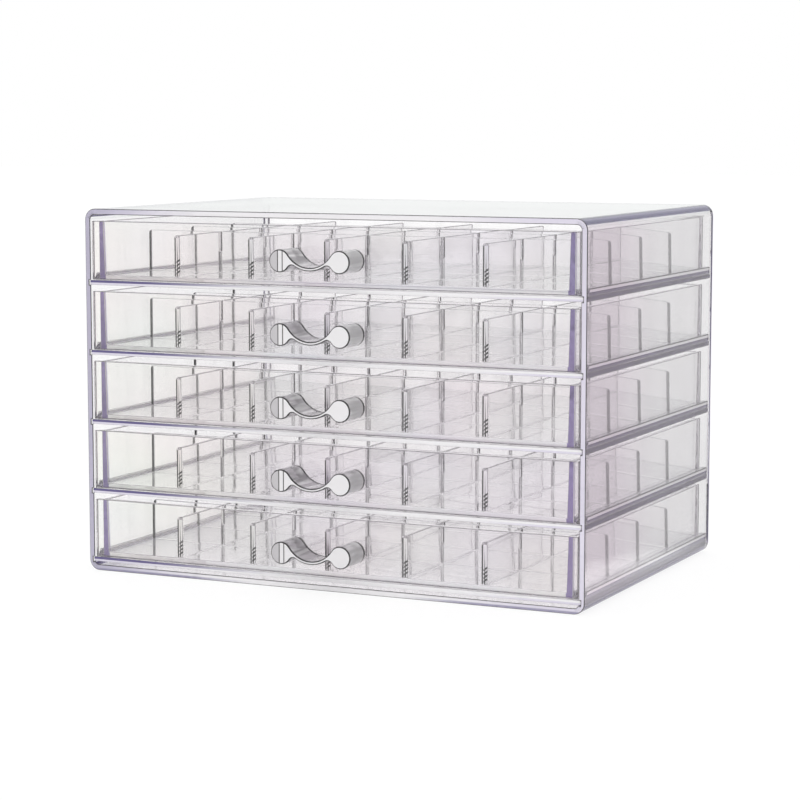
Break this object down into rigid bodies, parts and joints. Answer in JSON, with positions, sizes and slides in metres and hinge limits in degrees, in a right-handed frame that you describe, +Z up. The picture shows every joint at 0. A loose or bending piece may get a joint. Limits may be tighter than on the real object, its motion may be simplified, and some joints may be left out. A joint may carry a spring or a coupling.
{
  "type": "jewellery organizer box",
  "caption": "Clear plastic jewellery box with a stack of sliding drawers, each split into small cells by crossed dividers and pulled by a bow-shaped handle.",
  "frame": {"origin": "centre of the case's flat base", "axes": "+X to the right along the width as seen from the front, +Y from the drawer fronts to the back wall, +Z up"},
  "size_m": [0.22, 0.163, 0.15],
  "materials": {
    "clear_case": "clear moulded plastic with a faint lavender tint, polished",
    "clear_shelf": "clear plastic sheet with a faint lavender tint, polished",
    "clear_rail": "clear plastic strip, polished",
    "clear_tray": "clear moulded plastic, polished",
    "clear_front": "clear moulded plastic, polished",
    "clear_handle": "clear moulded plastic, polished",
    "clear_divider": "clear plastic sheet, polished"
  },
  "bodies": {
    "case": {"outer_case": "clear_case", "shelf_1": "clear_shelf", "shelf_2": "clear_shelf", "shelf_3": "clear_shelf", "shelf_4": "clear_shelf", "shelf_5": "clear_shelf", "left_rail_1": "clear_rail", "left_rail_2": "clear_rail", "left_rail_3": "clear_rail", "left_rail_4": "clear_rail", "left_rail_5": "clear_rail", "right_rail_1": "clear_rail", "right_rail_2": "clear_rail", "right_rail_3": "clear_rail", "right_rail_4": "clear_rail", "right_rail_5": "clear_rail"},
    "drawer_1": {"drawer_1_tray": "clear_tray", "drawer_1_front": "clear_front", "drawer_1_handle": "clear_handle", "drawer_1_long_dividers": "clear_divider", "drawer_1_cross_divider_1": "clear_divider", "drawer_1_cross_divider_2": "clear_divider", "drawer_1_cross_divider_3": "clear_divider"},
    "drawer_2": {"drawer_2_tray": "clear_tray", "drawer_2_front": "clear_front", "drawer_2_handle": "clear_handle", "drawer_2_long_dividers": "clear_divider", "drawer_2_cross_divider_1": "clear_divider", "drawer_2_cross_divider_2": "clear_divider", "drawer_2_cross_divider_3": "clear_divider"},
    "drawer_3": {"drawer_3_tray": "clear_tray", "drawer_3_front": "clear_front", "drawer_3_handle": "clear_handle", "drawer_3_long_dividers": "clear_divider", "drawer_3_cross_divider_1": "clear_divider", "drawer_3_cross_divider_2": "clear_divider", "drawer_3_cross_divider_3": "clear_divider"},
    "drawer_4": {"drawer_4_tray": "clear_tray", "drawer_4_front": "clear_front", "drawer_4_handle": "clear_handle", "drawer_4_long_dividers": "clear_divider", "drawer_4_cross_divider_1": "clear_divider", "drawer_4_cross_divider_2": "clear_divider", "drawer_4_cross_divider_3": "clear_divider"},
    "drawer_5": {"drawer_5_tray": "clear_tray", "drawer_5_front": "clear_front", "drawer_5_handle": "clear_handle", "drawer_5_long_dividers": "clear_divider", "drawer_5_cross_divider_1": "clear_divider", "drawer_5_cross_divider_2": "clear_divider", "drawer_5_cross_divider_3": "clear_divider"}
  },
  "joints": [
    {"name": "drawer_1_slide", "type": "slide", "parent": "case", "child": "drawer_1", "axis": [0, -1, 0], "range_m": [0, 0.115]},
    {"name": "drawer_2_slide", "type": "slide", "parent": "case", "child": "drawer_2", "axis": [0, -1, 0], "range_m": [0, 0.115]},
    {"name": "drawer_3_slide", "type": "slide", "parent": "case", "child": "drawer_3", "axis": [0, -1, 0], "range_m": [0, 0.115]},
    {"name": "drawer_4_slide", "type": "slide", "parent": "case", "child": "drawer_4", "axis": [0, -1, 0], "range_m": [0, 0.115]},
    {"name": "drawer_5_slide", "type": "slide", "parent": "case", "child": "drawer_5", "axis": [0, -1, 0], "range_m": [0, 0.115]}
  ]
}
